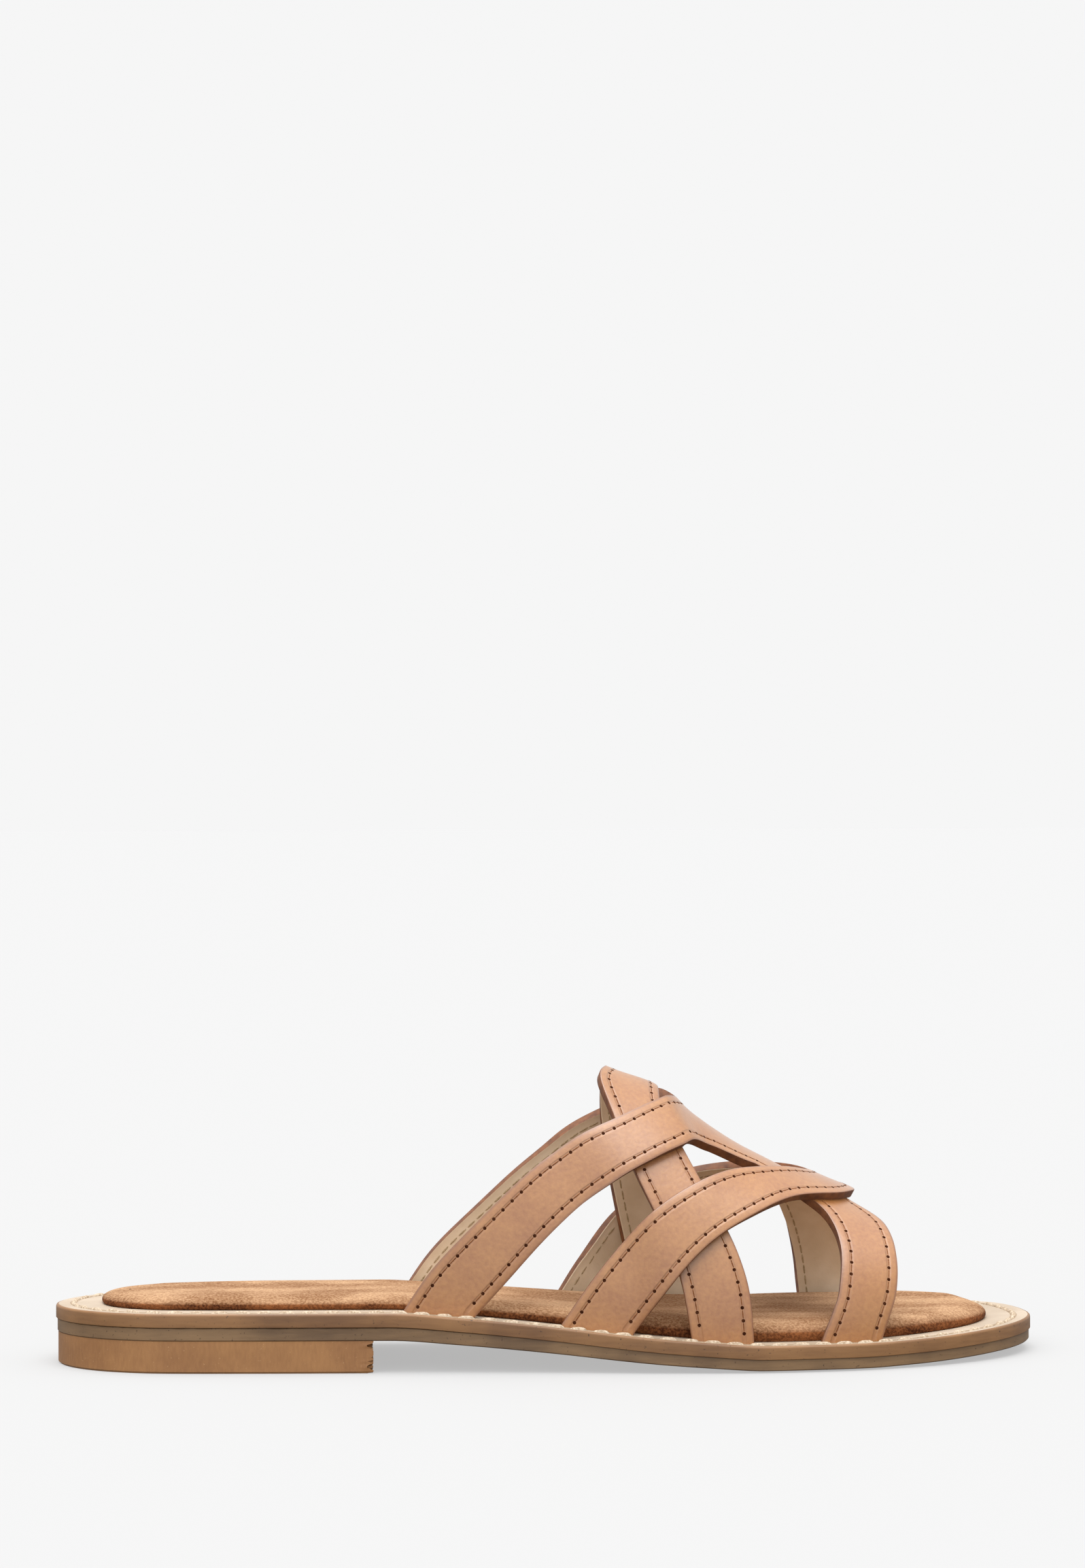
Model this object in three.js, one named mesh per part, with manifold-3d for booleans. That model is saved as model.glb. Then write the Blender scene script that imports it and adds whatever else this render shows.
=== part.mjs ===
// Flat leather mule for the right foot: crossing straps over a padded footbed, on a stitched welt and a low heel.
// Millimetres, +X to the toe, +Y to the inner (medial) side, +Z up, the ground at zero under the middle of the sole.

import * as THREE from 'three';
import { mergeVertices } from 'three/addons/utils/BufferGeometryUtils.js';
import Module from 'manifold-3d';

// Driving sizes
const soleLength = 262;
const heelWidth = 60;
const ballWidth = 87;
const heelHeight = 8.4;
const heelLength = 82.2;
const outsoleHeelThickness = 3.5;
const outsoleToeThickness = 3.4;
const weltThickness = 3.6;
const toeSpring = 2.3;
const outsoleInset = 0.4;
const heelInset = 0.6;
const edgeBevel = 0.6;
const rimLift = 0.5;
const rimWidth = 7;
const padHeelThickness = 3.6;
const padBallThickness = 5.2;
const padSideMargin = 8;
const padEndMargin = 12.2;
const padRoundOver = 3;
const strapThickness = 2.6;
const strapSetback = 3.6;
const archHeight = 81;
const ridgeOffset = 2;
const seamGap = 0.3;
const weaveOverlap = 0.25;
const weaveFade = 9;
const ridgeFade = 4.5;
const ridgeZone = 0.4;
const weldDistance = 1e-3;
const probe = 1e-3;
const rearArchTilt = 1.3;

// How finely the forms are divided
const soleSteps = 44;
const bridgeRows = 44;
const bridgeColumns = 26;
const archRows = 48;
const archColumns = 5;
const windowRows = 22;
const windowColumns = 12;

// Half widths of the sole's outline. at is a share of the length, the rest are shares of a full width,
// which is the heel's where ball is 0 and the ball's where it is 1.
const outlineRows = [
  { at: 0, lateral: 0, medial: 0, ball: 0 },
  { at: 0.03, lateral: 0.29, medial: 0.28, ball: 0 },
  { at: 0.06, lateral: 0.385, medial: 0.375, ball: 0 },
  { at: 0.1, lateral: 0.45, medial: 0.45, ball: 0 },
  { at: 0.2, lateral: 0.503, medial: 0.493, ball: 0 },
  { at: 0.35, lateral: 0.512, medial: 0.43, ball: 0.2 },
  { at: 0.5, lateral: 0.5, medial: 0.378, ball: 0.6 },
  { at: 0.6, lateral: 0.48, medial: 0.395, ball: 1 },
  { at: 0.7, lateral: 0.5, medial: 0.472, ball: 1 },
  { at: 0.78, lateral: 0.482, medial: 0.5, ball: 1 },
  { at: 0.86, lateral: 0.418, medial: 0.487, ball: 1 },
  { at: 0.92, lateral: 0.328, medial: 0.443, ball: 1 },
  { at: 0.96, lateral: 0.232, medial: 0.379, ball: 1 },
  { at: 0.985, lateral: 0.13, medial: 0.287, ball: 1 },
  { at: 1, lateral: -0.045, medial: 0.045, ball: 1 },
];

// Height of the outsole's underside: heel is a share of the heel's height, toe of the toe spring.
const undersideRows = [
  { at: 0, heel: 1, toe: 0 },
  { at: 0.33, heel: 1, toe: 0 },
  { at: 0.4, heel: 0.85, toe: 0 },
  { at: 0.45, heel: 0.71, toe: 0 },
  { at: 0.5, heel: 0.55, toe: 0 },
  { at: 0.55, heel: 0.37, toe: 0 },
  { at: 0.6, heel: 0.21, toe: 0 },
  { at: 0.65, heel: 0.09, toe: 0 },
  { at: 0.7, heel: 0, toe: 0 },
  { at: 0.8, heel: 0, toe: 0 },
  { at: 0.85, heel: 0, toe: 0.13 },
  { at: 0.9, heel: 0, toe: 0.35 },
  { at: 0.95, heel: 0, toe: 0.66 },
  { at: 1, heel: 0, toe: 1 },
];

// How far the outsole and the pad have changed from their heel's thickness (0) to that under the ball (1).
const forefootRows = [
  { at: 0, sole: 0, pad: 0 },
  { at: 0.35, sole: 0, pad: 0 },
  { at: 0.7, sole: 1, pad: 1 },
  { at: 0.86, sole: 1, pad: 0.95 },
  { at: 0.92, sole: 1, pad: 0.55 },
  { at: 0.96, sole: 1, pad: 0.2 },
  { at: 1, sole: 1, pad: 0 },
];

// Ridge of the last above the ground, a share of the arch height, and the roundness of its section.
const ridgeRows = [
  { at: 0.33, height: 1.05, round: 1.95 },
  { at: 0.46, height: 1.035, round: 1.95 },
  { at: 0.515, height: 0.994, round: 1.95 },
  { at: 0.561, height: 0.915, round: 1.95 },
  { at: 0.61, height: 0.837, round: 2 },
  { at: 0.637, height: 0.78, round: 2.02 },
  { at: 0.665, height: 0.715, round: 2.05 },
  { at: 0.693, height: 0.658, round: 2.08 },
  { at: 0.721, height: 0.611, round: 2.1 },
  { at: 0.763, height: 0.541, round: 2.2 },
  { at: 0.805, height: 0.484, round: 2.3 },
  { at: 0.859, height: 0.426, round: 2.4 },
  { at: 0.92, height: 0.36, round: 2.4 },
];

// Edges of the straps. up is the share of the way from the welt to the ridge, the rest are shares of the length.
const rearArch = {
  lateral: [
    { up: 0, rear: 0.628, front: 0.69 },
    { up: 0.15, rear: 0.619, front: 0.687 },
    { up: 0.3, rear: 0.6, front: 0.675 },
    { up: 0.45, rear: 0.575, front: 0.652 },
    { up: 0.6, rear: 0.559, front: 0.628 },
    { up: 0.8, rear: 0.545, front: 0.606 },
    { up: 1, rear: 0.555, front: 0.607 },
  ],
  medial: [
    { up: 0, rear: 0.607, front: 0.669 },
    { up: 0.15, rear: 0.592, front: 0.661 },
    { up: 0.3, rear: 0.579, front: 0.65 },
    { up: 0.45, rear: 0.568, front: 0.638 },
    { up: 0.6, rear: 0.56, front: 0.625 },
    { up: 0.8, rear: 0.556, front: 0.61 },
    { up: 1, rear: 0.555, front: 0.607 },
  ],
};
const frontArch = {
  lateral: [
    { up: 0, rear: 0.5, front: 0.572 },
    { up: 0.15, rear: 0.54, front: 0.611 },
    { up: 0.3, rear: 0.581, front: 0.651 },
    { up: 0.45, rear: 0.629, front: 0.695 },
    { up: 0.6, rear: 0.67, front: 0.736 },
    { up: 0.8, rear: 0.729, front: 0.792 },
    { up: 1, rear: 0.76, front: 0.811 },
  ],
  medial: [
    { up: 0, rear: 0.514, front: 0.584 },
    { up: 0.15, rear: 0.551, front: 0.621 },
    { up: 0.3, rear: 0.594, front: 0.664 },
    { up: 0.45, rear: 0.641, front: 0.708 },
    { up: 0.6, rear: 0.688, front: 0.75 },
    { up: 0.8, rear: 0.741, front: 0.797 },
    { up: 1, rear: 0.76, front: 0.811 },
  ],
};
const bridge = {
  lateral: [
    { up: 0, rear: 0.345, front: 0.818 },
    { up: 0.1, rear: 0.372, front: 0.827 },
    { up: 0.2, rear: 0.41, front: 0.834 },
    { up: 0.4, rear: 0.487, front: 0.838 },
    { up: 0.5, rear: 0.526, front: 0.838 },
    { up: 0.6, rear: 0.56, front: 0.836 },
    { up: 0.7, rear: 0.587, front: 0.832 },
    { up: 0.8, rear: 0.608, front: 0.818 },
    { up: 0.9, rear: 0.62, front: 0.8 },
    { up: 1, rear: 0.625, front: 0.797 },
  ],
  medial: [
    { up: 0, rear: 0.358, front: 0.838 },
    { up: 0.1, rear: 0.385, front: 0.838 },
    { up: 0.2, rear: 0.425, front: 0.837 },
    { up: 0.4, rear: 0.5, front: 0.831 },
    { up: 0.5, rear: 0.532, front: 0.826 },
    { up: 0.6, rear: 0.561, front: 0.822 },
    { up: 0.7, rear: 0.586, front: 0.817 },
    { up: 0.8, rear: 0.606, front: 0.807 },
    { up: 0.9, rear: 0.62, front: 0.8 },
    { up: 1, rear: 0.625, front: 0.797 },
  ],
};
// The arched opening between the bridge's rear leg and its front leg, from below the welt to its top.
const bridgeWindow = {
  lateral: [
    { up: -0.1, rear: 0.38, front: 0.75 },
    { up: 0, rear: 0.416, front: 0.757 },
    { up: 0.1, rear: 0.452, front: 0.768 },
    { up: 0.2, rear: 0.487, front: 0.776 },
    { up: 0.4, rear: 0.559, front: 0.781 },
    { up: 0.5, rear: 0.597, front: 0.779 },
    { up: 0.6, rear: 0.634, front: 0.773 },
    { up: 0.65, rear: 0.643, front: 0.768 },
    { up: 0.7, rear: 0.654, front: 0.761 },
    { up: 0.745, rear: 0.667, front: 0.752 },
    { up: 0.775, rear: 0.68, front: 0.742 },
    { up: 0.79, rear: 0.69, front: 0.732 },
  ],
  medial: [
    { up: -0.1, rear: 0.385, front: 0.784 },
    { up: 0, rear: 0.42, front: 0.781 },
    { up: 0.1, rear: 0.458, front: 0.778 },
    { up: 0.2, rear: 0.495, front: 0.775 },
    { up: 0.4, rear: 0.567, front: 0.764 },
    { up: 0.5, rear: 0.6, front: 0.756 },
    { up: 0.6, rear: 0.634, front: 0.747 },
    { up: 0.65, rear: 0.648, front: 0.742 },
    { up: 0.7, rear: 0.659, front: 0.741 },
    { up: 0.745, rear: 0.67, front: 0.739 },
    { up: 0.775, rear: 0.681, front: 0.735 },
    { up: 0.79, rear: 0.691, front: 0.727 },
  ],
};

// A smooth curve through one column of a table, which never swings past its own rows.
function curveThrough(rows, place, column) {
  const last = rows.length - 1;
  const rise = rows.slice(1).map((row, i) => (row[column] - rows[i][column]) / (row[place] - rows[i][place]));
  const slope = rows.map((row, i) => {
    if (i === 0) return rise[0];
    if (i === last) return rise[last - 1];
    const before = rise[i - 1];
    const after = rise[i];
    return before * after <= 0 ? 0 : (2 * before * after) / (before + after);
  });
  return (value) => {
    const x = Math.min(Math.max(value, rows[0][place]), rows[last][place]);
    let i = 0;
    while (i < last - 1 && x > rows[i + 1][place]) i += 1;
    const span = rows[i + 1][place] - rows[i][place];
    const t = (x - rows[i][place]) / span;
    const u = 1 - t;
    const start = rows[i][column] * (1 + 2 * t) + slope[i] * span * t;
    const end = rows[i + 1][column] * (1 + 2 * u) - slope[i + 1] * span * u;
    return start * u * u + end * t * t;
  };
}

const smoothStep = (value) => THREE.MathUtils.smoothstep(value, 0, 1);

// The outline is read by the angle of a point on a circle over the length, so that both ends come out round.
const outlineAngle = (at) => Math.acos(1 - 2 * Math.min(Math.max(at, 0), 1));
const outlineTable = outlineRows.map((row) => {
  const width = THREE.MathUtils.lerp(heelWidth, ballWidth, row.ball);
  return { angle: outlineAngle(row.at), lateral: row.lateral * width, medial: row.medial * width };
});
const lateralHalf = curveThrough(outlineTable, 'angle', 'lateral');
const medialHalf = curveThrough(outlineTable, 'angle', 'medial');
const widestLateral = Math.max(...outlineTable.map((row) => row.lateral));
const widestMedial = Math.max(...outlineTable.map((row) => row.medial));
const midX = soleLength / 2;
const midY = (widestMedial - widestLateral) / 2;

// Heights along the sole, by the share of its length
const heelShare = curveThrough(undersideRows, 'at', 'heel');
const toeShare = curveThrough(undersideRows, 'at', 'toe');
const forefootShare = curveThrough(forefootRows, 'at', 'sole');
const padShare = curveThrough(forefootRows, 'at', 'pad');
const underside = (at) => heelHeight * heelShare(at) + toeSpring * toeShare(at);
const outsoleThickness = (at) => THREE.MathUtils.lerp(outsoleHeelThickness, outsoleToeThickness, forefootShare(at));
const outsoleTop = (at) => underside(at) + outsoleThickness(at);
const weltTop = (at) => outsoleTop(at) + weltThickness;

// A closed mesh from a grid of points; rows that close on themselves make a tube with a cap at each end.
function solidFromRings(rings) {
  const count = rings[0].length;
  const positions = rings.flat(2);
  const index = [];
  for (let r = 0; r < rings.length - 1; r += 1) {
    for (let i = 0; i < count; i += 1) {
      const a = r * count + i;
      const b = r * count + ((i + 1) % count);
      index.push(a, b, b + count, a, b + count, a + count);
    }
  }
  const half = count / 2;
  const lastRing = (rings.length - 1) * count;
  for (let i = 0; i < half - 1; i += 1) {
    const a = i;
    const b = i + 1;
    const c = count - 2 - i;
    const d = count - 1 - i;
    index.push(a, c, b, a, d, c);
    index.push(lastRing + a, lastRing + b, lastRing + c, lastRing + a, lastRing + c, lastRing + d);
  }
  return closedGeometry(positions, index);
}

// Points that fall together are joined, and triangles that this leaves empty are dropped.
function closedGeometry(positions, index) {
  const geometry = new THREE.BufferGeometry();
  geometry.setAttribute('position', new THREE.Float32BufferAttribute(positions, 3));
  geometry.setIndex(index);
  const merged = mergeVertices(geometry, weldDistance);
  const kept = [];
  const source = merged.index.array;
  for (let i = 0; i < source.length; i += 3) {
    const [a, b, c] = [source[i], source[i + 1], source[i + 2]];
    if (a !== b && b !== c && c !== a) kept.push(a, b, c);
  }
  merged.setIndex(kept);
  return merged;
}

// Plan of the sole as pairs of edge points, one pair for each step along it, moved inwards by a margin.
// endMargin is used where the edge faces the heel or the toe, sideMargin along the sides.
const planSteps = [...Array(soleSteps + 1).keys()].map((i) => (1 - Math.cos((Math.PI * i) / soleSteps)) / 2);
function edgePoint(at, side) {
  const half = side < 0 ? -lateralHalf(outlineAngle(at)) : medialHalf(outlineAngle(at));
  return new THREE.Vector2(at * soleLength, half);
}
function insetPoint(at, side, sideMargin, endMargin) {
  const before = edgePoint(Math.max(at - probe, 0), side);
  const after = edgePoint(Math.min(at + probe, 1), side);
  const along = after.sub(before).normalize();
  const inward = new THREE.Vector2(along.y, -along.x).multiplyScalar(side);
  if (at <= 0) inward.set(1, 0);
  if (at >= 1) inward.set(-1, 0);
  const margin = THREE.MathUtils.lerp(sideMargin, endMargin, inward.x ** 2);
  return edgePoint(at, side).add(inward.multiplyScalar(margin));
}
function planRing(margin, endMargin, height) {
  const lateral = planSteps.map((at) => insetPoint(at, -1, margin, endMargin));
  const medial = planSteps.map((at) => insetPoint(at, 1, margin, endMargin)).reverse();
  return [...lateral, ...medial].map((point) => {
    const at = Math.min(Math.max(point.x / soleLength, 0), 1);
    return [point.x - midX, point.y - midY, height(at)];
  });
}

// A layer of the sole: rings from its underside up, each with a margin and a height.
function layer(levels) {
  return solidFromRings(levels.map(([margin, endMargin, height]) => planRing(margin, endMargin, height)));
}

// The outsole's rim curls up a little where no heel block lies under it.
function outsoleGeometry() {
  const rim = (at) => underside(at) + rimLift * (1 - heelShare(at));
  return layer([
    [rimWidth, rimWidth, underside],
    [outsoleInset + edgeBevel, outsoleInset + edgeBevel, rim],
    [outsoleInset, outsoleInset, (at) => rim(at) + edgeBevel],
    [outsoleInset, outsoleInset, (at) => outsoleTop(at) - seamGap],
  ]);
}

function weltGeometry() {
  return layer([
    [edgeBevel, edgeBevel, (at) => outsoleTop(at)],
    [0, 0, (at) => outsoleTop(at) + edgeBevel],
    [0, 0, (at) => weltTop(at) - edgeBevel],
    [edgeBevel, edgeBevel, weltTop],
  ]);
}

function footbedGeometry() {
  const base = (at) => weltTop(at) + seamGap;
  const thickness = (at) => THREE.MathUtils.lerp(padHeelThickness, padBallThickness, padShare(at));
  const roundOver = [0, 0.35, 0.7, 1].map((share) => {
    const angle = (share * Math.PI) / 2;
    return { inset: padRoundOver * (1 - Math.cos(angle)), drop: padRoundOver * (1 - Math.sin(angle)) };
  });
  const levels = roundOver.map(({ inset, drop }) => {
    return [padSideMargin + inset, padEndMargin + inset, (at) => base(at) + thickness(at) - drop];
  });
  return layer([[padSideMargin, padEndMargin, base], ...levels]);
}

// The heel block ends in a flat upright face under the waist.
function heelGeometry() {
  const steps = planSteps.filter((at) => at * soleLength < heelLength - edgeBevel);
  steps.push(heelLength / soleLength);
  const ring = (inset, height) => {
    const lateral = steps.map((at) => insetPoint(at, -1, inset, inset));
    const medial = steps.map((at) => insetPoint(at, 1, inset, inset)).reverse();
    return [...lateral, ...medial].map((point) => [
      Math.min(point.x, heelLength) - midX,
      point.y - midY,
      height(point.x / soleLength),
    ]);
  };
  return solidFromRings([
    ring(heelInset + edgeBevel, () => 0),
    ring(heelInset, () => edgeBevel),
    ring(heelInset, (at) => underside(at) - seamGap),
  ]);
}

// The last that the straps lie on. turn runs from -1 at the lateral welt over the ridge, 0, to 1 at the medial welt.
const ridgeShare = curveThrough(ridgeRows, 'at', 'height');
const sectionRound = curveThrough(ridgeRows, 'at', 'round');
function lastPoint(at, turn) {
  const base = weltTop(at) + seamGap;
  const height = archHeight * ridgeShare(at) - base;
  const angle = (1 - Math.min(Math.abs(turn), 1)) * (Math.PI / 2);
  const power = 2 / sectionRound(at);
  const across = Math.max(Math.cos(angle), 0) ** power;
  const up = Math.max(Math.sin(angle), 0) ** power;
  const below = Math.max(Math.abs(turn) - 1, 0) * archHeight;
  const inset = strapSetback + strapThickness;
  const lateralFoot = inset - lateralHalf(outlineAngle(at));
  const medialFoot = medialHalf(outlineAngle(at)) - inset;
  const half = (medialFoot - lateralFoot) / 2;
  const lean = (medialFoot + lateralFoot) / 2 - ridgeOffset;
  const y = ridgeOffset + half * across * Math.sign(turn) + lean * across ** 2;
  return new THREE.Vector3(at * soleLength - midX, y - midY, base + height * up - below);
}
function offLast(at, turn, distance) {
  const along = lastPoint(at + probe, turn).sub(lastPoint(at - probe, turn));
  const round = lastPoint(at, turn + probe).sub(lastPoint(at, turn - probe));
  const outward = along.cross(round).normalize();
  return lastPoint(at, turn).add(outward.multiplyScalar(distance));
}

// A strap's two edges as functions of turn, each one curve through its lateral rows, the ridge and its medial rows
function strapEdges(strap) {
  const lateral = strap.lateral.map((row) => ({ ...row, turn: row.up - 1 }));
  const medial = strap.medial.map((row) => ({ ...row, turn: 1 - row.up })).reverse();
  const ridge = lateral[lateral.length - 1];
  const rows = ridge.turn === 0 ? [...lateral, ...medial.slice(1)] : [...lateral, ...medial];
  return { rear: curveThrough(rows, 'turn', 'rear'), front: curveThrough(rows, 'turn', 'front') };
}

// How far a strap is raised by the straps beneath it, fading out beyond their edges, faster at the ridge
const fadeAt = (turn) => THREE.MathUtils.lerp(ridgeFade, weaveFade, smoothStep(Math.abs(turn) / ridgeZone));
function coverOf(edges) {
  return (at, turn) => {
    const outside = Math.max(edges.rear(turn) - at, at - edges.front(turn), 0) * soleLength;
    return smoothStep(1 - outside / fadeAt(turn));
  };
}
const rearArchEdges = strapEdges(rearArch);
const frontArchEdges = strapEdges(frontArch);
const bridgeEdges = strapEdges(bridge);
const windowEdges = strapEdges(bridgeWindow);
const windowTop = bridgeWindow.lateral[bridgeWindow.lateral.length - 1].up;
const rearArchCover = coverOf(rearArchEdges);
const bridgeOutlineCover = coverOf(bridgeEdges);
const layerStep = strapThickness - weaveOverlap;

// The rear arch lies flatter than the last at the ridge, so its front edge stands off.
function rearArchRise(at, turn) {
  const rear = rearArchEdges.rear(turn);
  const across = (at - rear) / (rearArchEdges.front(turn) - rear);
  const nearRidge = smoothStep((ridgeZone - Math.abs(turn)) / ridgeZone);
  return rearArchTilt * nearRidge * smoothStep(across);
}
function bridgeRise(at, turn) {
  return rearArchCover(at, turn) * (layerStep + rearArchRise(at, turn));
}
function bridgeCover(at, turn) {
  const gap = Math.min(at - windowEdges.rear(turn), windowEdges.front(turn) - at) * soleLength;
  const inWindow = Math.abs(turn) > 1 - windowTop ? smoothStep(gap / fadeAt(turn)) : 0;
  return bridgeOutlineCover(at, turn) * (1 - inWindow);
}
function frontArchRise(at, turn) {
  const overRear = rearArchCover(at, turn) * layerStep;
  const overBridge = bridgeCover(at, turn) * layerStep;
  return Math.max(overRear, overBridge);
}

// A strip of leather over the last, between two edges and two distances from it
function strip({ edges, rise, inner, outer, from, to, rows, columns }) {
  const rings = [];
  for (let r = 0; r <= rows; r += 1) {
    const turn = THREE.MathUtils.lerp(from, to, r / rows);
    const ring = [];
    const place = (c, distance) => {
      const at = THREE.MathUtils.lerp(edges.rear(turn), edges.front(turn), c / columns);
      return offLast(at, turn, rise(at, turn) + distance).toArray();
    };
    for (let c = 0; c <= columns; c += 1) ring.push(place(c, outer));
    for (let c = columns; c >= 0; c -= 1) ring.push(place(c, inner));
    rings.push(ring);
  }
  return solidFromRings(rings);
}

// Joins and cuts, for the woven upper alone
const wasm = await Module();
wasm.setup();
function toManifold(geometry) {
  return new wasm.Manifold(new wasm.Mesh({
    numProp: 3,
    vertProperties: new Float32Array(geometry.attributes.position.array),
    triVerts: new Uint32Array(geometry.index.array),
  }));
}
function fromManifold(solid) {
  const mesh = solid.getMesh();
  return closedGeometry(Array.from(mesh.vertProperties), Array.from(mesh.triVerts));
}

function upperGeometry() {
  const flat = () => 0;
  const whole = { from: -1, to: 1, inner: 0, outer: strapThickness };
  const reach = strapThickness * 4;
  const past = 1 - bridgeWindow.lateral[0].up;
  const through = { rise: flat, inner: -strapThickness, outer: reach, rows: windowRows, columns: windowColumns };
  const rear = strip({ ...whole, edges: rearArchEdges, rise: rearArchRise, rows: archRows, columns: archColumns });
  const front = strip({ ...whole, edges: frontArchEdges, rise: frontArchRise, rows: archRows, columns: archColumns });
  const middle = strip({ ...whole, edges: bridgeEdges, rise: bridgeRise, rows: bridgeRows, columns: bridgeColumns });
  const lateralCut = strip({ ...through, edges: windowEdges, from: -past, to: windowTop - 1 });
  const medialCut = strip({ ...through, edges: windowEdges, from: 1 - windowTop, to: past });
  const legs = toManifold(middle).subtract(toManifold(lateralCut)).subtract(toManifold(medialCut));
  return fromManifold(toManifold(rear).add(legs).add(toManifold(front)));
}

function piece(name, geometry, color, roughness) {
  const mesh = new THREE.Mesh(geometry, new THREE.MeshStandardMaterial({ color, roughness, metalness: 0 }));
  mesh.name = name;
  return mesh;
}

const shoe = new THREE.Group();
shoe.add(piece('heel', heelGeometry(), 0x9c6f45, 0.6));
shoe.add(piece('outsole', outsoleGeometry(), 0x75603f, 0.55));
shoe.add(piece('welt', weltGeometry(), 0xdccab8, 0.6));
shoe.add(piece('footbed', footbedGeometry(), 0xc98f5f, 0.95));
shoe.add(piece('upper', upperGeometry(), 0xcf9f72, 0.5));

export default shoe;
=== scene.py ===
# A flat leather mule for the right foot, put together as it is on the bench: welt board, outsole, heel, the
# three woven straps with their sewing, the welt's stitches and the padded suede footbed. The script then adds
# the floor, the light and the camera. Sizes are in millimetres up to the point where a mesh is made.
import math

import bpy
import numpy as np
from mathutils import Matrix, Vector, noise
from mathutils.bvhtree import BVHTree


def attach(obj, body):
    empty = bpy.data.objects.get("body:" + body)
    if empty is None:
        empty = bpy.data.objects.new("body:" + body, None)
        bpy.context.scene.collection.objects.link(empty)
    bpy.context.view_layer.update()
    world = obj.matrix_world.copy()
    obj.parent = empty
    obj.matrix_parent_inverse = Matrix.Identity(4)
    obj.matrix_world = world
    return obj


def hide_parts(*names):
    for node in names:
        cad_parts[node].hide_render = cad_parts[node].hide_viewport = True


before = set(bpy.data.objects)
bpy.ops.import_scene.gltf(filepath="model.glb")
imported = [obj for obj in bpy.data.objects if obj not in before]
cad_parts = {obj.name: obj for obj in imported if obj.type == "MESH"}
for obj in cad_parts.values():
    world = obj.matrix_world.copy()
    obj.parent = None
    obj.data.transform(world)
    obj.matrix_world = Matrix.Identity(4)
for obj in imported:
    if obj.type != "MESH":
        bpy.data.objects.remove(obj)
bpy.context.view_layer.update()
bpy.ops.object.select_all(action="DESELECT")
MM = 0.001


# Welt board: a 3.6 mm leather board, pale on its face, its edge trimmed, stained and burnished brown.
# It is cut to the outline of the sole and lies on the outsole, over the heel, down the waist and up the toe.
SOLE_LENGTH = 262
HEEL_WIDTH = 60
BALL_WIDTH = 87
HEEL_HEIGHT = 8.4
TOE_SPRING = 2.3
OUTSOLE_HEEL_THICKNESS = 3.5
OUTSOLE_TOE_THICKNESS = 3.4
WELT_THICKNESS = 3.6
WELT_BEVEL = 0.7
WELT_FOOT_BEVEL = 0.15
SEAM_GAP = 0.3
STITCH_SIDE_MARGIN = 2.3
STITCH_END_MARGIN = 4.6
CHANNEL_DEPTH = 0.3
CHANNEL_HALF = 0.9
SOLE_ROWS = 150
BOARD_COLUMNS = 16


def table(names, *rows):
    return dict(zip(names.split(), np.array(rows, float).T))


# Half widths of the sole, as shares of a full width: the heel's where ball is 0 and the ball's where it is 1
outline = table(
    "at lateral medial ball",
    (0, 0, 0, 0),
    (0.03, 0.29, 0.28, 0),
    (0.06, 0.385, 0.375, 0),
    (0.1, 0.45, 0.45, 0),
    (0.2, 0.503, 0.493, 0),
    (0.35, 0.512, 0.43, 0.2),
    (0.5, 0.5, 0.378, 0.6),
    (0.6, 0.48, 0.395, 1),
    (0.7, 0.5, 0.472, 1),
    (0.78, 0.482, 0.5, 1),
    (0.86, 0.418, 0.487, 1),
    (0.92, 0.328, 0.443, 1),
    (0.96, 0.232, 0.379, 1),
    (0.985, 0.13, 0.287, 1),
    (1, -0.045, 0.045, 1),
)
# The outsole's underside: a share of the heel's height and a share of the toe spring
lift = table(
    "at heel toe",
    (0, 1, 0),
    (0.33, 1, 0),
    (0.4, 0.85, 0),
    (0.45, 0.71, 0),
    (0.5, 0.55, 0),
    (0.55, 0.37, 0),
    (0.6, 0.21, 0),
    (0.65, 0.09, 0),
    (0.7, 0, 0),
    (0.8, 0, 0),
    (0.85, 0, 0.13),
    (0.9, 0, 0.35),
    (0.95, 0, 0.66),
    (1, 0, 1),
)
# The outsole's thickness, from the heel's at share 0 to the toe's at share 1
thinning = table("at share", (0, 0), (0.35, 0), (0.7, 1), (1, 1))


def curve(place, value):
    """A smooth curve through points, which never swings past them."""
    step = np.diff(place)
    rise = np.diff(value) / step
    slope = np.concatenate([rise[:1], np.zeros(len(rise) - 1), rise[-1:]])
    before, after = rise[:-1], rise[1:]
    same_way = before * after > 0
    slope[1:-1][same_way] = (2 * before * after)[same_way] / (before + after)[same_way]

    def at(x):
        x = np.clip(x, place[0], place[-1])
        i = np.clip(np.searchsorted(place, x, side="right") - 1, 0, len(step) - 1)
        t = (x - place[i]) / step[i]
        u = 1 - t
        start = value[i] * (1 + 2 * t) + slope[i] * step[i] * t
        end = value[i + 1] * (1 + 2 * u) - slope[i + 1] * step[i] * u
        return start * u * u + end * t * t

    return at


def smooth_step(value):
    value = np.clip(value, 0, 1)
    return value * value * (3 - 2 * value)


def outline_angle(at):
    return np.arccos(1 - 2 * np.clip(at, 0, 1))


full_width = HEEL_WIDTH + (BALL_WIDTH - HEEL_WIDTH) * outline["ball"]
lateral_half = curve(outline_angle(outline["at"]), outline["lateral"] * full_width)
medial_half = curve(outline_angle(outline["at"]), outline["medial"] * full_width)
heel_share = curve(lift["at"], lift["heel"])
toe_share = curve(lift["at"], lift["toe"])
forefoot_share = curve(thinning["at"], thinning["share"])


def underside(at):
    return HEEL_HEIGHT * heel_share(at) + TOE_SPRING * toe_share(at)


def outsole_top(at):
    thinner = (OUTSOLE_TOE_THICKNESS - OUTSOLE_HEEL_THICKNESS) * forefoot_share(at)
    return underside(at) + OUTSOLE_HEEL_THICKNESS + thinner


def welt_top(at):
    return outsole_top(at) + WELT_THICKNESS


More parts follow.
